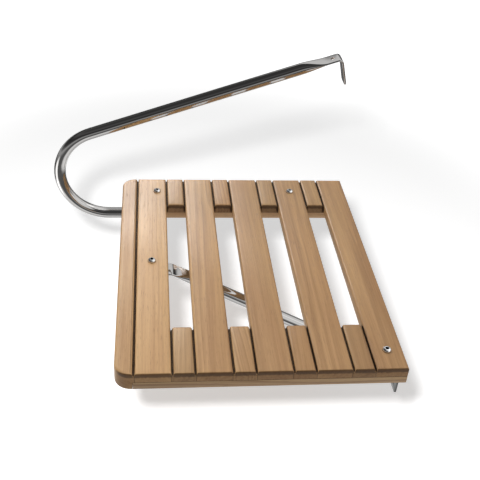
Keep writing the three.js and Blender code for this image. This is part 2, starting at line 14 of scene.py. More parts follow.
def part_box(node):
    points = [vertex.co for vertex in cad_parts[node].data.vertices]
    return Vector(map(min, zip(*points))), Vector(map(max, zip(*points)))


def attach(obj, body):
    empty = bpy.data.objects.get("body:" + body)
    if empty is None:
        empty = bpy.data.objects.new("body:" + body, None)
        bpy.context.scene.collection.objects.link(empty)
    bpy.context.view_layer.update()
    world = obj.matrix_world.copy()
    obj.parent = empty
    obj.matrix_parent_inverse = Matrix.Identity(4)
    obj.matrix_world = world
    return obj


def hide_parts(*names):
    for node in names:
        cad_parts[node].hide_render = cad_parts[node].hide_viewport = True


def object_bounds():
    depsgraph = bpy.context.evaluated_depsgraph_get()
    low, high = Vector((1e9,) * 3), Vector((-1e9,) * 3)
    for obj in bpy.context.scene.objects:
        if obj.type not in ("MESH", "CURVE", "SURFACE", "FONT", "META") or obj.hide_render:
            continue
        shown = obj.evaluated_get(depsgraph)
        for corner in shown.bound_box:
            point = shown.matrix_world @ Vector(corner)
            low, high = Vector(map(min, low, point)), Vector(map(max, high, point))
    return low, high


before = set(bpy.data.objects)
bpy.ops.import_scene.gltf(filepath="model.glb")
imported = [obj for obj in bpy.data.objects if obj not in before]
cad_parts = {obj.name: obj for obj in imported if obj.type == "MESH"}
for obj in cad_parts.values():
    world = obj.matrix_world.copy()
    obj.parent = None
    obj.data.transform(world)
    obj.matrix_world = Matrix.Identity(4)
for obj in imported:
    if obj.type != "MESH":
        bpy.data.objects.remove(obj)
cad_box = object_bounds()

MM = 0.001

# The camera's turn is in radians, its lens in millimetres, and its place is from the deck's near free corner.
CAMERA_PITCH, CAMERA_YAW, CAMERA_ROLL = 0.628149, 0.141500, 0.0812616
CAMERA_LENS = 58.09
CAMERA_SENSOR = 36
CAMERA_NEAREST = 50 * MM
CAMERA_PLACE = Vector((56.73, -825.8, 855.5)) * MM

GROOVE_DEPTH = 6 * MM
TONGUE = 2.7 * MM
ROUND_OVER = 3.6 * MM
FILLER_END_ROUND = 6 * MM
STRIP_CORNER = 25 * MM
ARRIS = 0.7 * MM

TUBE_RADIUS = 11.1 * MM
PRESSED_HALF = 1.7 * MM
TUBE_WALL = 1.5 * MM
RAIL_BEND_RADIUS = 93.7 * MM
RAIL_BEND_CENTRE_X = -485.4 * MM
RAIL_SLOPE = math.radians(19.8)
RAIL_FLATTEN = (-124 * MM, -74 * MM)
RAIL_FOOT_CORNER_X = -50 * MM
RAIL_FOOT_LEAN = math.radians(14)
HANG_HOLE_X = -65 * MM
BRACE_UPPER_CORNER_X = -364 * MM
BRACE_SLOPE = math.radians(29.1)
BRACE_FLATTEN = 42 * MM
BRACE_BEND = 12 * MM
FOOT_FLAT = 16 * MM
FOOT_LENGTH = 45 * MM
FOOT_BEND = 6 * MM
FOOT_CORNER = 5 * MM
FOOT_HOLE = 4.25 * MM

BOLT_HOLE = 4.3 * MM
DOWEL_HOLE = 4.3 * MM
SCREW_HOLE = 2.4 * MM
PLUG_CAP = 3 * MM
CLEARANCE = 0.3 * MM

# How far a cutter goes past what it cuts: a thin piece or a small recess, and a tube or a strip.
PAST = 2 * MM
THROUGH = 10 * MM
# A face is taken to look along an axis when its normal has at least this share of it.
FACING = 0.99

BOLTS = ("rail_outer", "rail_inner", "brace", "bracket")
DOWELS = ("strip_dowel_front", "strip_dowel_rear")
DOWELLED = ("edge_strip", "front_crosspiece", "rear_crosspiece")


# --- camera ---


def studio_camera():
    pitch, yaw, roll = CAMERA_PITCH, CAMERA_YAW, CAMERA_ROLL
    ahead = Vector((math.sin(yaw) * math.cos(pitch), math.cos(yaw) * math.cos(pitch), -math.sin(pitch)))
    level = Vector((math.cos(yaw), -math.sin(yaw), 0))
    upright = level.cross(ahead)
    right = math.cos(roll) * level + math.sin(roll) * upright
    up = -math.sin(roll) * level + math.cos(roll) * upright
    lens = bpy.data.cameras.new("studio_camera")
    lens.lens = CAMERA_LENS
    lens.sensor_width = CAMERA_SENSOR
    lens.clip_start = CAMERA_NEAREST
    camera = bpy.data.objects.new("studio_camera", lens)
    turn = Matrix((right, up, -ahead)).transposed()
    near_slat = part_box("deck_slat_1")
    corner = Vector((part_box("edge_strip")[0].x, near_slat[0].y, near_slat[1].z))
    camera.matrix_world = Matrix.Translation(corner + CAMERA_PLACE) @ turn.to_4x4()
    bpy.context.scene.collection.objects.link(camera)
    bpy.context.scene.camera = camera


# --- modelling by hand ---


def clear_selection():
    if bpy.context.object and bpy.context.object.mode != "OBJECT":
        bpy.ops.object.mode_set(mode="OBJECT")
    bpy.ops.object.select_all(action="DESELECT")


def take_up(piece):
    clear_selection()
    piece.select_set(True)
    bpy.context.view_layer.objects.active = piece


def settle(name):
    """Names the new primitive and moves its place into its mesh."""
    piece = bpy.context.object
    piece.name = name
    piece.data.name = name
    bpy.ops.object.transform_apply(location=True, rotation=True, scale=True)
    return piece


def start_block(name, low, high):
    clear_selection()
    low, high = Vector(low), Vector(high)
    bpy.ops.mesh.primitive_cube_add(size=1, location=(low + high) / 2, scale=high - low)
    return settle(name)


def start_rod(name, radius, low, high, sides, axis="Z"):
    """A cylinder between two points on a line along X or Z."""
    clear_selection()
    low, high = Vector(low), Vector(high)
    turn = (0, math.pi / 2, 0) if axis == "X" else (0, 0, 0)
    bpy.ops.mesh.primitive_cylinder_add(
        vertices=sides, radius=radius, depth=(high - low).length, location=(low + high) / 2, rotation=turn
    )
    return settle(name)


def open_mesh(piece, mode):
    take_up(piece)
    bpy.ops.object.mode_set(mode="EDIT")
    bpy.ops.mesh.select_mode(type=mode)


def pick_edges(piece, wanted):
    open_mesh(piece, "EDGE")
    bpy.ops.mesh.select_all(action="DESELECT")
    shape = bmesh.from_edit_mesh(piece.data)
    for edge in shape.edges:
        edge.select_set(bool(wanted(edge.verts[0].co, edge.verts[1].co)))
    bmesh.update_edit_mesh(piece.data)


def pick_faces(piece, wanted):
    open_mesh(piece, "FACE")
    bpy.ops.mesh.select_all(action="DESELECT")
    shape = bmesh.from_edit_mesh(piece.data)
    for face in shape.faces:
        face.select_set(bool(wanted(face.calc_center_median(), face.normal)))
    bmesh.update_edit_mesh(piece.data)


def close_mesh():
    bpy.ops.object.mode_set(mode="OBJECT")


def near(a, b, reach=0.01 * MM):
    return abs(a - b) < reach


def both(a, b, axis, level):
    """True when two points are both at this level on an axis."""
    return near(getattr(a, axis), level) and near(getattr(b, axis), level)


def round_edges(piece, radius, count, wanted):
    pick_edges(piece, wanted)
    bpy.ops.mesh.bevel(offset=radius, segments=count, profile=0.5, affect="EDGES")
    close_mesh()


def extrude(move):
    bpy.ops.mesh.extrude_region_move(TRANSFORM_OT_translate={"value": move})


def cut_level(piece, level):
    open_mesh(piece, "FACE")
    bpy.ops.mesh.select_all(action="SELECT")
    bpy.ops.mesh.bisect(plane_co=(0, 0, level), plane_no=(0, 0, 1))
    close_mesh()


def use_modifier(piece, kind, **settings):
    take_up(piece)
    modifier = piece.modifiers.new(kind.title(), kind)
    for key, value in settings.items():
        setattr(modifier, key, value)
    bpy.ops.object.modifier_apply(modifier=modifier.name)


def ease_edges(piece, width, angle=30):
    """Takes the sharpness off every edge that turns by more than the angle."""
    use_modifier(
        piece, "BEVEL", width=width, segments=2, limit_method="ANGLE", angle_limit=math.radians(angle),
        use_clamp_overlap=True,
    )


def drill(piece, cutter, keep_cutter=False):
    use_modifier(piece, "BOOLEAN", operation="DIFFERENCE", object=cutter, solver="EXACT")
    if not keep_cutter:
        bpy.data.objects.remove(cutter)


def drill_round(piece, radius, low, high, sides, axis="Z"):
    drill(piece, start_rod("bit", radius, low, high, sides, axis))


def tidy_normals(piece):
    open_mesh(piece, "VERT")
    bpy.ops.mesh.select_all(action="SELECT")
    bpy.ops.mesh.remove_doubles(threshold=0.001 * MM)
    bpy.ops.mesh.normals_make_consistent(inside=False)
    close_mesh()


def smooth(piece, angle=35):
    take_up(piece)
    bpy.ops.object.shade_smooth_by_angle(angle=math.radians(angle))


def own_copy(piece, name, move):
    copy = piece.copy()
    copy.data = piece.data.copy()
    copy.name = name
    copy.data.name = name
    copy.data.transform(Matrix.Translation(move))
    bpy.context.scene.collection.objects.link(copy)
    return copy


def install(piece, node, material):
    piece.data.materials.clear()
    piece.data.materials.append(material)
    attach(piece, "root")
    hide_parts(node)


def fit(piece, node, material, angle=40):
    smooth(piece, angle)
    install(piece, node, material)


def middle(node):
    low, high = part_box(node)
    return (low + high) / 2


# --- shader groups ---


def group_tree(name, inputs, outputs):
    tree = bpy.data.node_groups.new(name, "ShaderNodeTree")
    for label, kind, value in inputs:
        socket = tree.interface.new_socket(name=label, in_out="INPUT", socket_type="NodeSocket" + kind)
        if value is not None:
            socket.default_value = value
    for label, kind in outputs:
        tree.interface.new_socket(name=label, in_out="OUTPUT", socket_type="NodeSocket" + kind)
    return tree, tree.nodes.new("NodeGroupInput"), tree.nodes.new("NodeGroupOutput")


def wire(tree, node, links):
    """Each link is an input of the node, and the socket or the value that goes into it."""
    for name, source in links:
        if isinstance(source, bpy.types.NodeSocket):
            tree.links.new(source, node.inputs[name])
        else:
            node.inputs[name].default_value = source


def put(tree, kind, links=(), **values):
    """Adds a node with its links, and sets its own settings."""
    node = tree.nodes.new("ShaderNode" + kind)
    for key, value in values.items():
        setattr(node, key, value)
    wire(tree, node, links)
    return node


def stretched(tree, coordinates, scale):
    return put(tree, "Mapping", [("Vector", coordinates), ("Scale", scale)]).outputs[0]


def noise(tree, coordinates, scale, detail=2.0, roughness=0.5):
    """A pattern whose scale says how many waves it has in a metre, axis by axis."""
    placed = stretched(tree, coordinates, scale)
    node = put(
        tree, "TexNoise", [("Vector", placed), ("Scale", 1.0), ("Detail", detail), ("Roughness", roughness)]
    )
    return node.outputs["Fac"]


def steps(tree, value, low, high, out_low=0.0, out_high=1.0):
    node = put(
        tree, "MapRange",
        [("Value", value), ("From Min", low), ("From Max", high), ("To Min", out_low), ("To Max", out_high)],
        interpolation_type="SMOOTHSTEP",
    )
    return node.outputs[0]


def maths(tree, operation, a, b=0.0, c=0.0, clamp=False):
    node = put(tree, "Math", [(0, a), (1, b), (2, c)], operation=operation, use_clamp=clamp)
    return node.outputs[0]


def blend(tree, amount, a, b, mode="MIX"):
    node = put(tree, "Mix", [(0, amount), (6, a), (7, b)], data_type="RGBA", blend_type=mode)
    return node.outputs[2]


def edge_wear_group():
    """Worn: 1 on an outer edge that hands and feet rub, broken up by a pattern."""
    tree, given, result = group_tree(
        "edge_wear",
        [("Vector", "Vector", None), ("Width", "Float", 0.0012), ("Patchiness", "Float", 0.6)],
        [("Worn", "Float")],
    )
    face = put(tree, "NewGeometry").outputs["Normal"]
    rounded = put(tree, "Bevel", [("Radius", given.outputs["Width"])], samples=4).outputs[0]
    facing = put(tree, "VectorMath", [(0, face), (1, rounded)], operation="DOT_PRODUCT").outputs["Value"]
    edge = steps(tree, facing, 0.995, 0.86)
    patches = steps(tree, noise(tree, given.outputs["Vector"], (130, 130, 130), 3), 0.3, 0.62)
    broken = put(
        tree, "Mix", [(0, given.outputs["Patchiness"]), (2, 1.0), (3, patches)], data_type="FLOAT"
    ).outputs[0]
    tree.links.new(maths(tree, "MULTIPLY", edge, broken, clamp=True), result.inputs["Worn"])
    return tree


def painted_shade_group():
    """Painted shade: 1 deep in a groove between boards, in a corner or in a recess, where ambient occlusion
    finds close surfaces. The colour is darkened there as shade would darken it.
    """
    tree, given, result = group_tree(
        "crevice_shade", [("Vector", "Vector", None), ("Reach", "Float", 0.009)], [("Crevice shade", "Float")]
    )
    open_air = put(tree, "AmbientOcclusion", [("Distance", given.outputs["Reach"])], samples=8).outputs["AO"]
    ragged = noise(tree, given.outputs["Vector"], (300, 60, 300), 2)
    depth = maths(tree, "MULTIPLY_ADD", ragged, 0.12, open_air)
    tree.links.new(steps(tree, depth, 0.88, 0.44), result.inputs["Crevice shade"])
    return tree


def teak_group():
    """Solid teak. The vector runs along the grain on Y and has the tree's pith at X = Z = 0."""
    tree, given, result = group_tree(
        "teak",
        [
            ("Vector", "Vector", None),
            ("Pale", "Color", (0.66, 0.42, 0.23, 1)),
            ("Dark", "Color", (0.36, 0.19, 0.085, 1)),
            ("Rings per metre", "Float", 190.0),
            ("Figure", "Float", 0.5),
            ("End grain", "Float", 0.0),
            ("Top shade", "Float", 0.0),
            ("Worn", "Float", 0.0),
            ("Crevice shade", "Float", 0.0),
        ],
        [("Color", "Color"), ("Roughness", "Float"), ("Height", "Float")],
    )
    red_heart, pore_brown = (0.44, 0.20, 0.09, 1), (0.16, 0.075, 0.03, 1)
    # End grain's plain tone, and a darker tone that is painted shade near the top of each end face.
    unshaded_end, shaded_end = (0.60, 0.575, 0.53, 1), (0.23, 0.20, 0.165, 1)
    # The second colour on this line is painted shade, laid into grooves and corners by the crevice shade
    # mask.
    rubbed_pale, crevice_shade_brown = (0.72, 0.50, 0.30, 1), (0.020, 0.009, 0.004, 1)
    place = given.outputs["Vector"]
    sway = put(
        tree, "TexNoise", [("Vector", stretched(tree, place, (16, 2.2, 16))), ("Scale", 1.0), ("Detail", 2.0)]
    ).outputs["Color"]
    centred = put(tree, "VectorMath", [(0, sway), (1, (0.5, 0.5, 0.5))], operation="SUBTRACT").outputs[0]
    swing = put(tree, "VectorMath", [(0, centred), ("Scale", 0.011)], operation="SCALE").outputs[0]
    grain = put(tree, "VectorMath", [(0, place), (1, swing)], operation="ADD").outputs[0]

    across = put(tree, "VectorMath", [(0, grain), (1, (1, 0, 1))], operation="MULTIPLY").outputs[0]
    reach = put(tree, "VectorMath", [(0, across)], operation="LENGTH").outputs["Value"]
    uneven = maths(tree, "MULTIPLY", noise(tree, place, (42, 1.1, 42), 2), 2.6)
    year = maths(tree, "FRACT", maths(tree, "MULTIPLY_ADD", reach, given.outputs["Rings per metre"], uneven))
    late_wood = maths(tree, "MULTIPLY", steps(tree, year, 0.25, 0.9), steps(tree, year, 1.0, 0.93))
    year_tone = noise(tree, grain, (60, 1.2, 60), 1)

    streaks = steps(tree, noise(tree, grain, (250, 2.4, 250), 4, 0.65), 0.3, 0.72)
    bands = steps(tree, noise(tree, grain, (36, 1.3, 36), 3, 0.55), 0.36, 0.70)
    fibres = noise(tree, grain, (1100, 14, 1100), 3, 0.65)
    pores = steps(tree, noise(tree, grain, (1500, 55, 1500), 2, 0.5), 0.60, 0.70)
    clouds = steps(tree, noise(tree, place, (22, 3.5, 22), 2), 0.3, 0.7)

    ringed = maths(tree, "MULTIPLY", late_wood, steps(tree, year_tone, 0.25, 0.7, 0.25, 1.0))
    depth = maths(tree, "MULTIPLY", ringed, given.outputs["Figure"])
    depth = maths(tree, "MULTIPLY_ADD", streaks, 0.42, depth)
    depth = maths(tree, "MULTIPLY_ADD", bands, 0.34, depth)
    depth = maths(tree, "MULTIPLY_ADD", steps(tree, fibres, 0.3, 0.7), 0.22, depth)
    depth = maths(tree, "MULTIPLY_ADD", clouds, 0.16, depth)
    depth = maths(tree, "SUBTRACT", depth, 0.22, clamp=True)

    wood = blend(tree, depth, given.outputs["Pale"], given.outputs["Dark"])
    wood = blend(tree, maths(tree, "MULTIPLY", clouds, 0.14), wood, red_heart)
    flecked = blend(tree, maths(tree, "MULTIPLY", pores, 0.42), wood, pore_brown)
    # Painted shade: end faces darken in a ragged band towards their top, just below the rounded edge.
    ragged = noise(tree, place, (330, 330, 40), 3, 0.6)
    end_shade = steps(tree, maths(tree, "MULTIPLY_ADD", ragged, 0.7, given.outputs["Top shade"]), 0.55, 1.05)
    end_tone = blend(tree, end_shade, unshaded_end, shaded_end)
    cut_ends = blend(tree, 1.0, flecked, end_tone, "MULTIPLY")
    sawn = blend(tree, given.outputs["End grain"], flecked, cut_ends)
    rubbed = blend(tree, maths(tree, "MULTIPLY", given.outputs["Worn"], 0.30), sawn, rubbed_pale)
    # Painted shade: grooves, corners and recesses darken towards a near-black brown.
    crevice_shaded = blend(tree, given.outputs["Crevice shade"], rubbed, crevice_shade_brown)
    tree.links.new(crevice_shaded, result.inputs["Color"])

    rough = maths(tree, "MULTIPLY_ADD", fibres, 0.20, 0.32)
    rough = maths(tree, "MULTIPLY_ADD", given.outputs["End grain"], 0.18, rough)
    rough = maths(tree, "MULTIPLY_ADD", given.outputs["Crevice shade"], 0.45, rough)
    rough = maths(tree, "MULTIPLY_ADD", given.outputs["Worn"], -0.10, rough)
    tree.links.new(rough, result.inputs["Roughness"])
    height = maths(tree, "MULTIPLY_ADD", pores, -0.8, fibres)
    height = maths(tree, "MULTIPLY_ADD", late_wood, 0.5, height)
    tree.links.new(height, result.inputs["Height"])
    return tree


def polish_group():
    """Buffed metal: faint waves left by bending and buffing, fine buffing lines, and a few smears."""
    tree, given, result = group_tree(
        "polish",
        [
            ("Vector", "Vector", None),
            ("Metal", "Color", (0.78, 0.77, 0.75, 1)),
            ("Smears", "Float", 0.5),
            ("Gloss roughness", "Float", 0.05),
            ("Crevice shade", "Float", 0.0),
        ],
        [("Color", "Color"), ("Roughness", "Float"), ("Height", "Float")],
    )
    # The second colour on this line is painted shade, laid into recesses by the crevice shade mask.
    smeared, recess_shade_grey = (0.62, 0.60, 0.57, 1), (0.03, 0.028, 0.025, 1)
    place = given.outputs["Vector"]
    waves = noise(tree, place, (28, 60, 60), 1)
    lines = noise(tree, place, (60, 2600, 2600), 2, 0.6)
    smears = steps(tree, noise(tree, place, (24, 30, 30), 4, 0.6), 0.46, 0.72)
    nicks = steps(tree, noise(tree, place, (420, 420, 420), 2), 0.70, 0.78)
    dull = maths(tree, "MULTIPLY", smears, given.outputs["Smears"])
    rough = maths(tree, "MULTIPLY_ADD", dull, 0.12, given.outputs["Gloss roughness"])
    rough = maths(tree, "MULTIPLY_ADD", lines, 0.05, rough)
    rough = maths(tree, "MULTIPLY_ADD", nicks, 0.15, rough)
    tree.links.new(rough, result.inputs["Roughness"])
    tinted = blend(tree, maths(tree, "MULTIPLY", dull, 0.35), given.outputs["Metal"], smeared)
    # Painted shade: recesses darken towards a near-black grey.
    recess_shaded = blend(tree, given.outputs["Crevice shade"], tinted, recess_shade_grey)
    tree.links.new(recess_shaded, result.inputs["Color"])
    height = maths(tree, "MULTIPLY_ADD", lines, 0.012, waves)
    tree.links.new(height, result.inputs["Height"])
    return tree


# --- materials ---


def blank_material(name):
    material = bpy.data.materials.new(name)
    material.use_nodes = True
    tree = material.node_tree
    shader = next(node for node in tree.nodes if node.type == "BSDF_PRINCIPLED")
    coordinates = put(tree, "TexCoord").outputs["Object"]
    return material, tree, shader, coordinates


def use_group(tree, group, links):
    node = tree.nodes.new("ShaderNodeGroup")
    node.node_tree = group
    wire(tree, node, links)
    return node


def connect(tree, node, shader, bump_distance, bump_strength):
    tree.links.new(node.outputs["Color"], shader.inputs["Base Color"])
    tree.links.new(node.outputs["Roughness"], shader.inputs["Roughness"])
    bump = put(
        tree, "Bump",
        [("Height", node.outputs["Height"]), ("Distance", bump_distance), ("Strength", bump_strength)],
    )
    tree.links.new(bump.outputs[0], shader.inputs["Normal"])


def teak_material(name, pith, pale, dark, rings, figure, along="Y", drift=0.0, shade_reach=9 * MM):
    """One board's teak.

    pith is where the tree's middle lies across the board, and drift turns the grain a little off its length.
    """
    # Heights between which the painted shade on end faces grows towards the top.
    top_shade_low, top_shade_high = -3 * MM, 6 * MM
    material, tree, shader, coordinates = blank_material(name)
    turn = (0, 0, drift) if along == "Y" else (0, 0, math.pi / 2 + drift)
    moved = put(tree, "Mapping", [("Vector", coordinates), ("Location", (-pith[0], pith[2], -pith[1]))])
    turned = put(tree, "Mapping", [("Vector", moved.outputs[0]), ("Rotation", turn)])
    end_axis = (0, 1, 0) if along == "Y" else (1, 0, 0)
    face = put(tree, "NewGeometry").outputs["Normal"]
    facing = put(tree, "VectorMath", [(0, face), (1, end_axis)], operation="DOT_PRODUCT").outputs["Value"]
    cut_end = steps(tree, maths(tree, "ABSOLUTE", facing), 0.35, 0.8)
    height = put(tree, "SeparateXYZ", [("Vector", coordinates)]).outputs["Z"]
    top_shade = steps(tree, height, top_shade_low, top_shade_high)
    worn = use_group(tree, EDGE_WEAR, [("Vector", coordinates)])
    # Painted shade: ambient occlusion within this reach darkens grooves and corners.
    shade_mask = use_group(tree, PAINTED_SHADE, [("Vector", coordinates), ("Reach", shade_reach)])
    grain = use_group(
        tree, TEAK,
        [
            ("Vector", turned.outputs[0]),
            ("Pale", (*pale, 1)),
            ("Dark", (*dark, 1)),
            ("Rings per metre", rings),
            ("Figure", figure),
            ("End grain", cut_end),
            ("Top shade", top_shade),
            ("Worn", worn.outputs["Worn"]),
            ("Crevice shade", shade_mask.outputs["Crevice shade"]),
        ],
    )
    connect(tree, grain, shader, bump_distance=0.25 * MM, bump_strength=0.6)
    shader.inputs["Specular IOR Level"].default_value = 0.5
    return material


def polished_material(name, metal, gloss, smears, wave_height, shade_reach=0.0):
    material, tree, shader, coordinates = blank_material(name)
    links = [("Vector", coordinates), ("Metal", (*metal, 1)), ("Gloss roughness", gloss), ("Smears", smears)]
    # Painted shade in recesses, when a reach is given.
    if shade_reach:
        shade_mask = use_group(tree, PAINTED_SHADE, [("Vector", coordinates), ("Reach", shade_reach)])
        links.append(("Crevice shade", shade_mask.outputs["Crevice shade"]))
    buffed = use_group(tree, POLISH, links)
    connect(tree, buffed, shader, bump_distance=wave_height, bump_strength=0.5)
    shader.inputs["Metallic"].default_value = 1
    return material


def plastic_material(name, color, roughness):
    material, tree, shader, coordinates = blank_material(name)
    grit = noise(tree, coordinates, (900, 900, 900), 3)
    clouds = noise(tree, coordinates, (60, 60, 60), 2)
    lighter = tuple(min(1, c * 1.6 + 0.02) for c in color)
    tree.links.new(blend(tree, clouds, (*color, 1), (*lighter, 1)), shader.inputs["Base Color"])
    rough = maths(tree, "MULTIPLY_ADD", clouds, 0.2, roughness - 0.1)
    tree.links.new(rough, shader.inputs["Roughness"])
    bump = put(tree, "Bump", [("Height", grit), ("Distance", 0.1 * MM), ("Strength", 0.5)])
    tree.links.new(bump.outputs[0], shader.inputs["Normal"])
    return material


# --- teak pieces ---


def make_slat(node):
    low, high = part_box(node)
    piece = start_block(node + "_board", low, high)
    round_edges(piece, ROUND_OVER, 4, lambda a, b: both(a, b, "z", high.z))
    ease_edges(piece, ARRIS)
    return piece


def make_filler(node):
    """A short block, rounded at its inner end, with a tongue on each side below the groove."""
    low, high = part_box(node)
    square_base = 4 * MM
    piece = start_block(node + "_block", low + Vector((TONGUE, 0, 0)), high - Vector((TONGUE, 0, 0)))
    sides = (low.x + TONGUE, high.x - TONGUE)
    inner_y, outer_y = (high.y, low.y) if node.startswith("front") else (low.y, high.y)
    round_edges(
        piece, FILLER_END_ROUND, 5,
        lambda a, b: both(a, b, "z", high.z) and both(a, b, "y", inner_y),
    )
    round_edges(
        piece, ROUND_OVER * 0.9, 4,
        lambda a, b: min(a.z, b.z) > low.z + square_base
        and (any(both(a, b, "x", side) for side in sides) or both(a, b, "y", outer_y)),
    )
    groove_floor = high.z - GROOVE_DEPTH
    cut_level(piece, groove_floor)
    for side, way in zip(sides, (-1, 1)):
        pick_faces(piece, lambda c, n: n.x * way > FACING and near(c.x, side) and c.z < groove_floor)
        extrude((way * TONGUE, 0, 0))
        close_mesh()
    ease_edges(piece, ARRIS * 0.6)
    return piece


def make_edge_strip(node):
    """The full-thickness strip, with a tongue between the groove and the crosspieces."""
    low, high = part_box(node)
    inner = high.x - TONGUE
    piece = start_block(node + "_board", low, (inner, high.y, high.z))
    round_edges(piece, STRIP_CORNER, 14, lambda a, b: both(a, b, "x", low.x) and not near(a.z, b.z))
    round_edges(piece, ROUND_OVER, 4, lambda a, b: both(a, b, "z", high.z))
    top, bottom = high.z - GROOVE_DEPTH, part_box("deck_slat_1")[0].z
    for level in (top, bottom):
        cut_level(piece, level)
    pick_faces(piece, lambda c, n: n.x > FACING and near(c.x, inner) and bottom < c.z < top)
    extrude((TONGUE, 0, 0))
    close_mesh()
    ease_edges(piece, ARRIS * 0.8)
    return piece


def make_crosspiece(node):
    low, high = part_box(node)
    piece = start_block(node + "_board", low, high)
    ease_edges(piece, ARRIS * 0.35)
    return piece


def drill_bits():
    """A cutter for each bolt and screw hole, and one for each screw's countersink."""
    below_deck, above_deck = -60 * MM, 20 * MM
    sink, sink_centre, past_tip = 6.5 * MM, 1.95 * MM, 0.4 * MM
    bits = []
    for name in BOLTS:
        x, y = middle(name + "_bolt").xy
        bits.append(start_rod("bit", BOLT_HOLE, (x, y, below_deck), (x, y, above_deck), 28))
    for node in SCREWS:
        low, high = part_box(node)
        x, y = middle(node).xy
        bits.append(start_rod("bit", SCREW_HOLE, (x, y, low.z - PAST), (x, y, high.z + past_tip), 16))
        clear_selection()
        bpy.ops.mesh.primitive_cone_add(
            vertices=24, radius1=sink, radius2=0, depth=sink, location=(x, y, low.z + sink_centre)
        )
        bits.append(settle("bit"))
    return bits


def strip_drill():
    bits = []
    for node in DOWELS:
        low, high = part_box(node)
        y, z = middle(node).yz
        bits.append(
            start_rod("bit", DOWEL_HOLE, (low.x - CLEARANCE, y, z), (high.x + CLEARANCE, y, z), 24, "X")
        )
    return bits


def drill_board(piece, bits):
    corners = [vertex.co for vertex in piece.data.vertices]
    low = Vector(min(c[i] for c in corners) for i in range(3))
    high = Vector(max(c[i] for c in corners) for i in range(3))
    for bit in bits:
        centre = sum((v.co for v in bit.data.vertices), Vector()) / len(bit.data.vertices)
        if low.x < centre.x < high.x and low.y < centre.y < high.y:
            drill(piece, bit, keep_cutter=True)


# --- tubes ---


class TubeWork:
    """A tube pulled out ring by ring in edit mode, in the XZ plane at one Y."""

    def __init__(self, name, start, heading):
        sides = 48
        clear_selection()
        self.at = Vector(start)
        self.heading = heading
        self.half_height = TUBE_RADIUS
        self.spread = 0.0
        self.narrowed = 1.0
        bpy.ops.mesh.primitive_circle_add(
            vertices=sides, radius=TUBE_RADIUS, location=start, rotation=(0, math.pi / 2 - heading, 0)
        )
        self.piece = settle(name)
        open_mesh(self.piece, "VERT")
        bpy.ops.mesh.select_all(action="SELECT")
        # Half a step of turn, so that no point lies on the line between the two halves.
        half_step = Matrix.Rotation(math.pi / sides, 4, self.ahead())
        shape = bmesh.from_edit_mesh(self.piece.data)
        bmesh.ops.rotate(shape, cent=self.at, matrix=half_step, verts=shape.verts)
        bmesh.update_edit_mesh(self.piece.data)

    def ahead(self):
        return Vector((math.cos(self.heading), 0, math.sin(self.heading)))

    def forward(self, length):
        move = self.ahead() * length
        extrude(move)
        self.at += move

    def pull(self, length, count):
        for _ in range(count):
            self.forward(length / count)

    def bend(self, radius, turn, count):
        side = Vector((-math.sin(self.heading), 0, math.cos(self.heading))) * math.copysign(1, turn)
        centre = self.at + side * radius
        bpy.ops.mesh.spin(steps=count, angle=turn, center=centre, axis=(0, 1, 0), dupli=False)
        self.at = centre + Matrix.Rotation(-turn, 3, "Y") @ (self.at - centre)
        self.heading += turn

    def half_ring(self, way):
        """The points of the newest ring on one side of the middle."""
        shape = bmesh.from_edit_mesh(self.piece.data)
        ring = [v for v in shape.verts if v.select]
        for vertex in ring:
            vertex.select_set((vertex.co.y - self.at.y) * way > 0)
        shape.select_flush(False)
        bmesh.update_edit_mesh(self.piece.data)
        return [v.index for v in ring]

    def select_ring(self, indices):
        shape = bmesh.from_edit_mesh(self.piece.data)
        shape.verts.ensure_lookup_table()
        for index in indices:
            shape.verts[index].select_set(True)
        shape.select_flush(True)
        bmesh.update_edit_mesh(self.piece.data)

    def press(self, half_height):
        """Presses the newest ring flatter or rounder, its girth unchanged."""
        spread = math.pi / 2 * (TUBE_RADIUS - half_height)
        scale = half_height / self.half_height
        for way in (-1, 1):
            indices = self.half_ring(way)
            own_middle = self.at + Vector((0, way * self.spread, 0))
            bpy.ops.transform.resize(value=(scale, scale, scale), center_override=own_middle)
            bpy.ops.transform.translate(value=(0, way * (spread - self.spread), 0))
            self.select_ring(indices)
        self.half_height = half_height
        self.spread = spread

    def squeeze(self, length, count, opening=False):
        """Draws the tube on while it goes from round to flat, or opens out again."""
        for k in range(1, count + 1):
            self.forward(length / count)
            flat = eased(k / count)
            self.press(pressed_height(1 - flat if opening else flat))

    def narrow(self, share):
        """Draws the newest ring in to a share of its full width, for the rounded corners of a foot."""
        bpy.ops.transform.resize(value=(1, share / self.narrowed, 1), center_override=self.at)
        self.narrowed = share

    def cap(self):
        bpy.ops.mesh.edge_face_add()

    def finish(self):
        close_mesh()
        tidy_normals(self.piece)
        return self.piece


def eased(t):
    return t * t * (3 - 2 * t)


def pressed_height(amount):
    return TUBE_RADIUS + (PRESSED_HALF - TUBE_RADIUS) * amount


def corner_share(distance):
    """How much of a foot's width is left at a distance from its end."""
    half = PRESSED_HALF + math.pi / 2 * (TUBE_RADIUS - PRESSED_HALF)
    short = FOOT_CORNER - distance
    return (half - FOOT_CORNER + math.sqrt(max(FOOT_CORNER**2 - short**2, 0))) / half


def shape_corners(work, parts, ending):
    """The few millimetres at a foot's start or end over which its corners are rounded."""
    done = 0
    for part in parts:
        work.forward(FOOT_CORNER * (part - done))
        done = part
        work.narrow(corner_share(FOOT_CORNER * (1 - part if ending else part)))


def end_foot(work):
    """Draws out the rest of a foot and closes it. Gives where it ends, and its heading."""
    work.forward(FOOT_LENGTH - FOOT_CORNER)
    shape_corners(work, (0.35, 0.7, 0.9, 1.0), ending=True)
    end = work.at.copy(), work.heading
    work.cap()
    return end


def corner_run(radius, turn):
    return radius * math.tan(abs(turn) / 2)


def hole_through(end, heading, back):
    """A cutter square to a flat part of a tube, a distance back from a point on it."""
    centre = end - Vector((math.cos(heading), 0, math.sin(heading))) * back
    clear_selection()
    bpy.ops.mesh.primitive_cylinder_add(
        vertices=32, radius=FOOT_HOLE, depth=3 * THROUGH, location=centre, rotation=(0, -heading, 0)
    )
    return settle("bit")


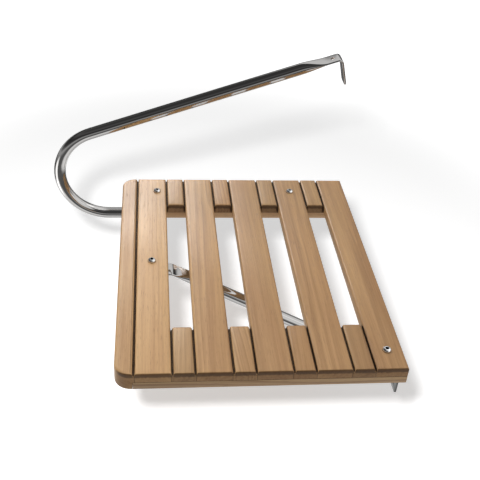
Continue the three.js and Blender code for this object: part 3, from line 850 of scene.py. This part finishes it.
def make_grab_rail():
    bolt_pad, hang_pad, bore_depth = 12 * MM, 6 * MM, 18 * MM
    y, z = middle("rail_end_plug").yz
    end_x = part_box("rail_end_plug")[1].x - (PLUG_CAP + CLEARANCE)
    work = TubeWork("grab_rail_tube", (end_x, y, z), math.pi)
    bolt_xs = middle("rail_inner_bolt").x, middle("rail_outer_bolt").x
    for x in bolt_xs:
        for stop in (x + bolt_pad, x - bolt_pad):
            work.forward(work.at.x - stop)
    work.forward(work.at.x - RAIL_BEND_CENTRE_X)
    work.bend(RAIL_BEND_RADIUS, RAIL_SLOPE - math.pi, 44)

    def run_to(x):
        return (x - work.at.x) / math.cos(RAIL_SLOPE)

    work.pull(run_to(RAIL_FLATTEN[0]), 6)
    work.squeeze(run_to(RAIL_FLATTEN[1]), 14)
    work.forward(run_to(HANG_HOLE_X) - hang_pad)
    work.forward(2 * hang_pad)
    past_hang_hole = work.at.copy()
    foot_turn = RAIL_FOOT_LEAN - math.pi / 2 - RAIL_SLOPE
    work.forward(run_to(RAIL_FOOT_CORNER_X) - corner_run(FOOT_BEND, foot_turn))
    work.bend(FOOT_BEND, foot_turn, 8)
    foot_end, foot_heading = end_foot(work)
    piece = work.finish()
    # The open lower end, with the tube's wall round it.
    pick_edges(piece, lambda a, b: both(a, b, "x", end_x))
    bpy.ops.mesh.edge_face_add()
    close_mesh()
    pick_faces(piece, lambda c, n: near(c.x, end_x) and abs(n.x) > FACING)
    bpy.ops.mesh.inset(thickness=TUBE_WALL)
    extrude((-bore_depth, 0, 0))
    close_mesh()
    tidy_normals(piece)
    drill(piece, hole_through(past_hang_hole, RAIL_SLOPE, hang_pad))
    drill(piece, hole_through(foot_end, foot_heading, FOOT_LENGTH / 3))
    for x in bolt_xs:
        drill_round(piece, BOLT_HOLE, (x, y, z - 2 * THROUGH), (x, y, z + 2 * THROUGH), 28)
    return piece


def make_under_brace():
    low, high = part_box("under_brace")
    top = high.z - PRESSED_HALF
    work = TubeWork("under_brace_tube", (low.x, 0, top), 0.0)
    work.press(PRESSED_HALF)
    work.narrow(corner_share(0))
    work.cap()
    shape_corners(work, (0.1, 0.3, 0.65, 1.0), ending=False)
    slope = -BRACE_SLOPE
    work.forward(BRACE_UPPER_CORNER_X - corner_run(BRACE_BEND, slope) - work.at.x)
    work.bend(BRACE_BEND, slope, 6)
    work.squeeze(BRACE_FLATTEN, 12, opening=True)
    foot_turn = -math.pi / 2 - slope
    to_corner = (high.x - PRESSED_HALF - work.at.x) / math.cos(slope)
    work.pull(to_corner - corner_run(FOOT_BEND, foot_turn) - FOOT_FLAT - BRACE_FLATTEN, 5)
    work.squeeze(BRACE_FLATTEN, 12)
    work.forward(FOOT_FLAT)
    work.bend(FOOT_BEND, foot_turn, 7)
    foot_end, foot_heading = end_foot(work)
    piece = work.finish()
    drill(piece, hole_through(foot_end, foot_heading, FOOT_LENGTH / 3))
    x = middle("brace_bolt").x
    drill_round(piece, BOLT_HOLE, (x, 0, top - THROUGH), (x, 0, top + THROUGH), 28)
    return piece


# --- bracket, saddles, plug ---


def make_wall_bracket():
    low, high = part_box("wall_bracket")
    thick, bend, corner, hole_drop, eased_width = 3 * MM, 5 * MM, 4.5 * MM, 32 * MM, 0.35 * MM
    piece = start_block("wall_bracket_strip", (low.x, low.y, high.z - thick), (high.x - bend, high.y, high.z))
    pick_faces(piece, lambda c, n: n.x > FACING)
    bpy.ops.mesh.spin(
        steps=6, angle=-math.pi / 2, center=(high.x - bend, 0, high.z - bend), axis=(0, 1, 0), dupli=False
    )
    extrude((0, 0, low.z - (high.z - bend)))
    close_mesh()
    tidy_normals(piece)

    def across_an_end(a, b):
        at_foot = both(a, b, "z", low.z) and not near(a.x, b.x)
        at_tail = both(a, b, "x", low.x) and not near(a.z, b.z)
        return near(a.y, b.y) and (at_foot or at_tail)

    round_edges(piece, corner, 6, across_an_end)
    y, hole_z = middle("wall_bracket").y, high.z - hole_drop
    drill_round(piece, FOOT_HOLE, (high.x - THROUGH, y, hole_z), (high.x + THROUGH, y, hole_z), 32, "X")
    x, y = middle("bracket_bolt").xy
    drill_round(piece, BOLT_HOLE, (x, y, high.z - THROUGH), (x, y, high.z + THROUGH), 28)
    ease_edges(piece, eased_width, 40)
    return piece


def make_saddle(node, bolt_node):
    low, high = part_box(node)
    corner, eased_width = 4 * MM, 0.6 * MM
    x = middle(bolt_node).x
    y, z = middle("rail_end_plug").yz
    piece = start_block(node + "_block", low, high)
    round_edges(piece, corner, 5, lambda a, b: near(a.x, b.x) and near(a.y, b.y))
    drill_round(piece, TUBE_RADIUS + CLEARANCE, (low.x - THROUGH, y, z), (high.x + THROUGH, y, z), 64, "X")
    drill_round(piece, BOLT_HOLE, (x, y, z), (x, y, high.z + THROUGH), 28)
    ease_edges(piece, eased_width, 40)
    return piece


def make_plug():
    """A cap over the rail's end, with a slightly tapered spigot inside the tube."""
    low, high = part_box("rail_end_plug")
    taper, rim_round = 0.94, 1.6 * MM
    y, z = middle("rail_end_plug").yz
    shoulder = high.x - PLUG_CAP
    piece = start_rod("rail_end_plug_cap", TUBE_RADIUS, (shoulder, y, z), (high.x, y, z), 48, "X")
    pick_faces(piece, lambda c, n: n.x < -FACING)
    bpy.ops.mesh.inset(thickness=TUBE_WALL + CLEARANCE)
    extrude((low.x - shoulder, 0, 0))
    bpy.ops.transform.resize(value=(1, taper, taper), center_override=(low.x, y, z))
    close_mesh()
    round_edges(piece, rim_round, 4, lambda a, b: both(a, b, "x", high.x))
    return piece


# --- fasteners ---


def draw_in(x, y, share):
    """Narrows or widens the newest end of a fastener about its own axis."""
    bpy.ops.transform.resize(value=(share, share, 1), center_override=(x, y, 0))


def add_ridges(x, y, count, rise, root):
    """Plain thread ridges: the shank goes in to its root and out again, ridge by ridge."""
    for _ in range(count):
        for share in (root, 1 / root):
            extrude((0, 0, rise))
            draw_in(x, y, share)


def make_bolt(node):
    """A domed head with a hexagon socket, on a plain shank with a short run of thread ridges at its tip."""
    head_radius, head_rise, dome, shoulder = 7 * MM, 4.4 * MM, 3.6 * MM, 3 * MM
    thread_length, ridge, tip, tip_share = 14 * MM, 0.6 * MM, 0.8 * MM, 0.8
    socket_radius, socket_depth, socket_round = 3.2 * MM, 3.2 * MM, 0.25 * MM
    low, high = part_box(node)
    x, y = middle(node).xy
    seat = high.z - head_rise
    piece = start_rod(node + "_head", head_radius, (x, y, seat), (x, y, high.z), 48)
    round_edges(piece, dome, 7, lambda a, b: both(a, b, "z", high.z))
    pick_faces(piece, lambda c, n: n.z < -FACING)
    bpy.ops.mesh.inset(thickness=shoulder)
    extrude((0, 0, low.z + thread_length - seat))
    add_ridges(x, y, 11, -ridge, 0.93)
    extrude((0, 0, -tip))
    draw_in(x, y, tip_share)
    close_mesh()
    drill_round(piece, socket_radius, (x, y, high.z - socket_depth), (x, y, high.z + PAST), 6)

    def on_socket_rim(point):
        out = (point.xy - Vector((x, y))).length
        return near(point.z, high.z, 0.3 * MM) and out < socket_radius + 0.1 * MM

    round_edges(piece, socket_round, 2, lambda a, b: on_socket_rim(a) and on_socket_rim(b))
    return piece


def make_washer(node):
    washer_radius, eased_width = 8 * MM, 0.3 * MM
    low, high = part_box(node)
    x, y = middle(node).xy
    piece = start_rod(node + "_ring", washer_radius, (x, y, low.z), (x, y, high.z), 48)
    drill_round(piece, BOLT_HOLE, (x, y, low.z - PAST), (x, y, high.z + PAST), 32)
    ease_edges(piece, eased_width, 40)
    return piece


def make_nut(node):
    """A lock nut: a hexagon with turned-down corners, and a collar that holds the nylon ring."""
    hex_radius, hex_ease, step_in, step_down = 7.5 * MM, 0.3 * MM, 0.9 * MM, 0.3 * MM
    collar_radius, collar_rise, collar_sunk, collar_round = 5.7 * MM, 2.2 * MM, 0.4 * MM, 0.9 * MM
    low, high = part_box(node)
    x, y = middle(node).xy
    seat = low.z + collar_rise
    piece = start_rod(node + "_hex", hex_radius, (x, y, seat), (x, y, high.z), 6)
    ease_edges(piece, hex_ease)
    pick_faces(piece, lambda c, n: n.z < -FACING)
    bpy.ops.mesh.inset(thickness=step_in)
    bpy.ops.transform.translate(value=(0, 0, -step_down))
    close_mesh()
    collar = start_rod("collar", collar_radius, (x, y, low.z), (x, y, seat + collar_sunk), 40)
    round_edges(collar, collar_round, 3, lambda a, b: both(a, b, "z", low.z))
    use_modifier(piece, "BOOLEAN", operation="UNION", object=collar, solver="EXACT")
    bpy.data.objects.remove(collar)
    drill_round(piece, BOLT_HOLE, (x, y, low.z - PAST), (x, y, high.z + PAST), 32)
    return piece


def make_screw(node):
    """A countersunk wood screw driven up from below, with a hexagon recess."""
    head_radius, rim, cone, neck_share = 4.2 * MM, 0.4 * MM, 2.1 * MM, 0.5
    ridge, threaded, tip_gap, tip_share = 0.85 * MM, 19.5 * MM, 0.3 * MM, 0.12
    recess_radius, recess_depth = 1.9 * MM, 1.6 * MM
    low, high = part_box(node)
    x, y = middle(node).xy
    piece = start_rod(node + "_body", head_radius, (x, y, low.z), (x, y, low.z + rim), 28)
    pick_faces(piece, lambda c, n: n.z > FACING)
    extrude((0, 0, cone))
    draw_in(x, y, neck_share)
    add_ridges(x, y, 10, ridge, 0.78)
    extrude((0, 0, high.z - low.z - threaded - tip_gap))
    draw_in(x, y, tip_share)
    close_mesh()
    drill_round(piece, recess_radius, (x, y, low.z - PAST), (x, y, low.z + recess_depth), 6)
    return piece


def make_dowel(node):
    dowel_radius, eased_width = 4 * MM, 0.8 * MM
    low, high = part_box(node)
    y, z = middle(node).yz
    piece = start_rod(node + "_pin", dowel_radius, (low.x, y, z), (high.x, y, z), 32, "X")
    ease_edges(piece, eased_width, 40)
    return piece


# --- build ---

SCREWS = [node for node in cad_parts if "_screw_" in node]

studio_camera()

EDGE_WEAR = edge_wear_group()
PAINTED_SHADE = painted_shade_group()
TEAK = teak_group()
POLISH = polish_group()

# Each board: where its pith lies (X, Z) and a shift along it, two tones, rings per metre, figure, drift.
STRIP = {
    "edge_strip": ((-0.52, -0.30, 0.1), (0.6, 0.369, 0.168), (0.36, 0.192, 0.0756), 120, 0.24, 0.010),
}
BOARDS = {
    "deck_slat_1": ((-0.56, -0.16, 0.7), (0.645, 0.4, 0.182), (0.416, 0.227, 0.0926), 150, 0.26, 0.004),
    "deck_slat_2": ((-0.285, -0.035, 1.3), (0.56, 0.334, 0.147), (0.314, 0.163, 0.0622), 120, 0.40, 0.012),
    "deck_slat_3": ((-0.33, -0.22, 2.1), (0.515, 0.306, 0.136), (0.317, 0.166, 0.0665), 140, 0.22, -0.006),
    "deck_slat_4": ((-0.05, -0.14, 2.9), (0.522, 0.307, 0.135), (0.297, 0.155, 0.0605), 130, 0.28, 0.008),
    "wall_board": ((0.02, -0.10, 3.7), (0.506, 0.297, 0.13), (0.282, 0.149, 0.0591), 150, 0.28, -0.010),
}
FILLERS = {
    "front_filler_1": ((-0.30, -0.06, 4.1), (0.497, 0.304, 0.139), (0.294, 0.164, 0.0664), 130, 0.36, 0.05),
    "front_filler_2": ((-0.30, -0.10, 4.9), (0.54, 0.325, 0.144), (0.29, 0.154, 0.0588), 150, 0.50, -0.08),
    "front_filler_3": ((-0.08, -0.09, 5.3), (0.446, 0.255, 0.107), (0.285, 0.146, 0.0542), 130, 0.26, 0.03),
    "front_filler_4": ((-0.14, -0.12, 6.2), (0.405, 0.235, 0.1), (0.239, 0.125, 0.0479), 140, 0.30, 0.02),
    "rear_filler_1": ((-0.42, -0.07, 7.1), (0.56, 0.344, 0.156), (0.33, 0.178, 0.0722), 130, 0.30, 0.04),
    "rear_filler_2": ((-0.21, -0.05, 7.9), (0.56, 0.325, 0.141), (0.28, 0.136, 0.0504), 170, 0.60, -0.03),
    "rear_filler_3": ((-0.25, -0.09, 8.3), (0.519, 0.32, 0.145), (0.304, 0.166, 0.0675), 140, 0.36, 0.02),
    "rear_filler_4": ((-0.02, -0.08, 9.4), (0.494, 0.298, 0.132), (0.285, 0.15, 0.0591), 130, 0.36, -0.02),
}
CROSSPIECES = {
    "front_crosspiece": (
        (-0.26, -0.075, 0.4), (0.456, 0.303, 0.157), (0.228, 0.131, 0.0587), 240, 0.75, 0.01
    ),
    # The rear crosspiece's tones are paler than the other boards': painted light, lifting it out of the shade
    # under the rear fillers.
    "rear_crosspiece": ((0.20, -0.09, 1.4), (0.76, 0.50, 0.27), (0.50, 0.285, 0.13), 200, 0.5, 0.008),
}

bits = drill_bits()
dowel_bits = strip_drill()


def lay_boards(table, make, shade_reach, along="Y"):
    for node, (pith, pale, dark, rings, figure, drift) in table.items():
        piece = make(node)
        drill_board(piece, bits)
        if node in DOWELLED:
            for bit in dowel_bits:
                drill(piece, bit, keep_cutter=True)
        smooth(piece)
        teak = teak_material(node + "_teak", pith, pale, dark, rings, figure, along, drift, shade_reach)
        install(piece, node, teak)


# The last number in each call is how far the painted shade reaches into grooves and corners.
lay_boards(STRIP, make_edge_strip, 9 * MM)
lay_boards(BOARDS, make_slat, 9 * MM)
lay_boards(FILLERS, make_filler, 6 * MM)
lay_boards(CROSSPIECES, make_crosspiece, 2 * MM, "X")
for bit in bits + dowel_bits:
    bpy.data.objects.remove(bit)

dowel_wood = teak_material(
    "dowel_beech", (-0.4, -0.1, 0.2), (0.66, 0.47, 0.30), (0.45, 0.29, 0.16), rings=300, figure=0.2, along="X"
)
for node in DOWELS:
    fit(make_dowel(node), node, dowel_wood, 35)

mirror_steel = polished_material("mirror_steel", (0.54, 0.53, 0.52), 0.04, 0.35, 0.3 * MM)
# The wall bracket's steel is near black: painted shade, so that its tip reads dark below the deck.
strip_steel = polished_material("strip_steel", (0.09, 0.09, 0.088), 0.20, 0.2, 0.1 * MM)
# The bolts' steel takes painted shade in its socket recesses, within 4 mm.
bright_steel = polished_material("bright_steel", (0.88, 0.885, 0.89), 0.20, 0.5, 0.05 * MM, 4 * MM)
satin_steel = polished_material("satin_steel", (0.66, 0.655, 0.645), 0.24, 0.6, 0.05 * MM)
saddle_black = plastic_material("saddle_black", (0.035, 0.036, 0.04), 0.5)
plug_black = plastic_material("plug_black", (0.02, 0.021, 0.024), 0.42)

rail = make_grab_rail()
fit(rail, "grab_rail", mirror_steel)
brace = make_under_brace()
fit(brace, "under_brace", mirror_steel)
bracket = make_wall_bracket()
fit(bracket, "wall_bracket", strip_steel)
for name in ("outer", "inner"):
    saddle = make_saddle("rail_saddle_" + name, "rail_" + name + "_bolt")
    fit(saddle, "rail_saddle_" + name, saddle_black)
fit(make_plug(), "rail_end_plug", plug_black, 50)

fixings = []
for name in BOLTS:
    bolt, washer, nut = make_bolt(name + "_bolt"), make_washer(name + "_washer"), make_nut(name + "_nut")
    fit(bolt, name + "_bolt", bright_steel)
    fit(washer, name + "_washer", satin_steel)
    fit(nut, name + "_nut", satin_steel, 35)
    fixings += [bolt, washer, nut]

pattern_screw = make_screw(SCREWS[0])
smooth(pattern_screw)
for node in SCREWS:
    screw = own_copy(pattern_screw, node + "_driven", middle(node) - middle(SCREWS[0]))
    install(screw, node, satin_steel)
bpy.data.objects.remove(pattern_screw)


# --- studio ---

ROOM_STOPS = (
    (-1, 0.60), (-0.90, 0.85), (-0.72, 1.1), (-0.64, 0.9), (-0.56, 0.15), (-0.3, 0.12), (0.0, 0.50),
    (0.10, 0.20), (0.22, 0.06), (0.42, 0.035), (0.66, 0.11), (0.85, 0.05),
)
AMBIENT_STOPS = ((-1, 0.62), (-0.1, 0.56), (0.1, 0.30), (1, 0.30))
# Each glow: the way to its middle, the cosines of its rim and of its bright inside, and its brightness.
GLOWS = (
    ((0.36, 0.10, 0.93), 0.87, 0.97, 1.3),
    ((-0.80, -0.28, -0.50), 0.90, 0.975, 1.7),
    ((0.15, 0.76, 0.60), 0.91, 0.97, 0.8),
    ((0.72, -0.56, 0.36), 0.86, 0.94, 0.95),
    ((0.80, 0.22, 0.50), 0.84, 0.93, 0.9),
)


def studio_floor():
    """A white sweep that gives off part of its white near the object, and all of it further out.

    The shadow lamp gives the other part, so that its shadow shows near the object alone.
    """
    gap, size = 4 * MM, 24
    lit_middle, lit_reach, own_share = (0.25, -0.35, 0), (0.75, 1.5), 0.40
    clear_selection()
    bpy.ops.mesh.primitive_plane_add(size=size, location=(0, 0, cad_box[0][2] - gap))
    floor = settle("studio_floor")
    material, tree, shader, coordinates = blank_material("white_sweep")
    shader.inputs["Base Color"].default_value = (0.86, 0.86, 0.86, 1)
    shader.inputs["Roughness"].default_value = 0.9
    shader.inputs["Specular IOR Level"].default_value = 0.0
    centred = put(tree, "VectorMath", [(0, coordinates), (1, lit_middle)], operation="ADD").outputs[0]
    reach = put(tree, "VectorMath", [(0, centred)], operation="LENGTH").outputs["Value"]
    tree.links.new(steps(tree, reach, *lit_reach, own_share, 1.0), shader.inputs["Emission Color"])
    shader.inputs["Emission Strength"].default_value = 1.0
    floor.data.materials.append(material)
    floor.visible_glossy = False
    floor.visible_diffuse = False
    return floor


def soft_box(name, place, aim, size, power, glossy=False):
    """A square lamp; the metal mirrors it only when glossy is set."""
    light = bpy.data.lights.new(name, "AREA")
    light.shape = "RECTANGLE"
    light.size = light.size_y = size
    light.energy = power
    lamp = bpy.data.objects.new(name, light)
    way = Vector(aim) - Vector(place)
    lamp.matrix_world = Matrix.Translation(place) @ way.to_track_quat("-Z", "Y").to_matrix().to_4x4()
    lamp.visible_glossy = glossy
    bpy.context.scene.collection.objects.link(lamp)
    return lamp


def choose_lit(lamp, things, state):
    """INCLUDE has the lamp light these things alone, and EXCLUDE everything but these."""
    group = bpy.data.collections.new(lamp.name + "_things")
    for thing in things:
        group.objects.link(thing)
    for entry in group.collection_objects:
        entry.light_linking.link_state = state
    lamp.light_linking.receiver_collection = group


def grey_ramp(tree, height, stops):
    """Greys by height: each stop is a height from -1, straight down, to 1, straight up, and its grey."""
    ramp = put(tree, "ValToRGB", [("Fac", maths(tree, "MULTIPLY_ADD", height, 0.5, 0.5))])
    while len(ramp.color_ramp.elements) < len(stops):
        ramp.color_ramp.elements.new(0.5)
    for element, (level, grey) in zip(ramp.color_ramp.elements, stops):
        element.position = level * 0.5 + 0.5
        element.color = (grey, grey, grey, 1)
    return ramp.outputs["Color"]


def glow(tree, direction, towards, rim, inside, level):
    """A soft round patch of light in the room, seen in the metal. rim and inside are cosines."""
    middle_way = Vector(towards).normalized()
    facing = put(tree, "VectorMath", [(0, direction), (1, middle_way)], operation="DOT_PRODUCT")
    return steps(tree, facing.outputs["Value"], rim, inside, 0.0, level)


def studio_world():
    """The room: white to the camera, dark with glows in metal, and paler below than above for the wood."""
    white = (1, 1, 1, 1)
    world = bpy.data.worlds.new("studio_room")
    world.use_nodes = True
    tree = world.node_tree
    background = next(node for node in tree.nodes if node.type == "BACKGROUND")
    direction = put(tree, "TexCoord").outputs["Generated"]
    height = put(tree, "SeparateXYZ", [("Vector", direction)]).outputs["Z"]
    mirrored = grey_ramp(tree, height, ROOM_STOPS)
    glows = 0.0
    for patch in GLOWS:
        glows = maths(tree, "ADD", glows, glow(tree, direction, *patch))
    mirrored = blend(tree, 1.0, mirrored, glows, "ADD")
    ambient = grey_ramp(tree, height, AMBIENT_STOPS)
    path = put(tree, "LightPath")
    seen = blend(tree, path.outputs["Is Glossy Ray"], ambient, mirrored)
    seen = blend(tree, path.outputs["Is Camera Ray"], seen, white)
    tree.links.new(seen, background.inputs["Color"])
    bpy.context.scene.world = world


bpy.context.scene.view_settings.view_transform = "Standard"
floor = studio_floor()
studio_world()
deck_middle = Vector((-0.23, 0.0, 0.0))
key = soft_box("key", (-1.5, 0.6, 1.6), deck_middle, size=1.2, power=24)
overhead = soft_box("overhead", (-0.5, 0.2, 2.0), deck_middle, size=1.5, power=14)
front_fill = soft_box("front_fill", (0.55, -1.5, 0.2), deck_middle, size=0.8, power=5)
for lamp in (key, overhead, front_fill):
    choose_lit(lamp, [floor], "EXCLUDE")
window = soft_box("far_window", (-0.66, 1.6, 0.82), (-0.36, 0.2, 0.0), size=0.8, power=17, glossy=True)
window.visible_diffuse = False
choose_lit(window, [floor, rail, brace, bracket, *fixings], "EXCLUDE")
shadow_lamp = soft_box("shadow_lamp", (-0.57, -1.07, 1.09), deck_middle, size=0.16, power=36)
choose_lit(shadow_lamp, [floor], "INCLUDE")
